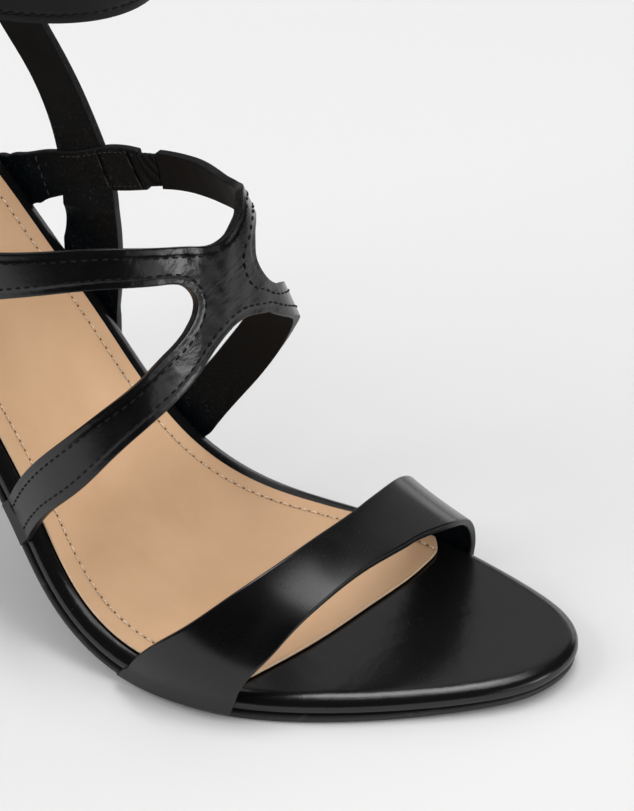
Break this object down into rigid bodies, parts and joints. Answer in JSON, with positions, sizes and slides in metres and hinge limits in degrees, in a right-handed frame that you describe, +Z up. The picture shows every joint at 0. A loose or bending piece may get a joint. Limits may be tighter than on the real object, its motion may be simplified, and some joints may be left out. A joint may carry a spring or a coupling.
{
  "type": "strappy heeled sandal",
  "caption": "Right strappy sandal on a slim high heel: toe strap, crossed instep straps, upright side straps and a buckled ankle strap over a tan sock.",
  "frame": {"origin": "middle of the heel tip's bottom face, on the floor", "axes": "+X to the toe, +Y to the inner (medial) side of this right shoe, +Z up"},
  "size_m": [0.2174, 0.079, 0.1673],
  "materials": {
    "outsole": "black outsole with a smooth edge",
    "insole_board": "board wrapped in glossy black leather",
    "sock": "tan smooth leather, matt",
    "heel": "heel covered in glossy black leather",
    "heel_tip": "black hard rubber top piece",
    "toe_strap": "glossy black leather, no stitching",
    "instep_strap": "glossy black leather, stitched along the edges",
    "medial_quarter": "glossy black leather with a grained black lining",
    "lateral_quarter": "glossy black leather with a grained black lining",
    "elastic_gore": "black ribbed elastic",
    "ankle_strap": "glossy black leather, stitched along the edges",
    "buckle_frame": "small polished pin buckle frame",
    "buckle_prong": "polished prong",
    "strap_keeper": "glossy black leather keeper"
  },
  "bodies": {
    "root": {"outsole": "outsole", "insole_board": "insole_board", "sock": "sock", "heel": "heel", "heel_tip": "heel_tip", "toe_strap": "toe_strap", "instep_strap": "instep_strap", "medial_quarter": "medial_quarter", "lateral_quarter": "lateral_quarter", "elastic_gore": "elastic_gore", "ankle_strap": "ankle_strap", "buckle_frame": "buckle_frame", "buckle_prong": "buckle_prong", "strap_keeper": "strap_keeper"}
  },
  "joints": []
}
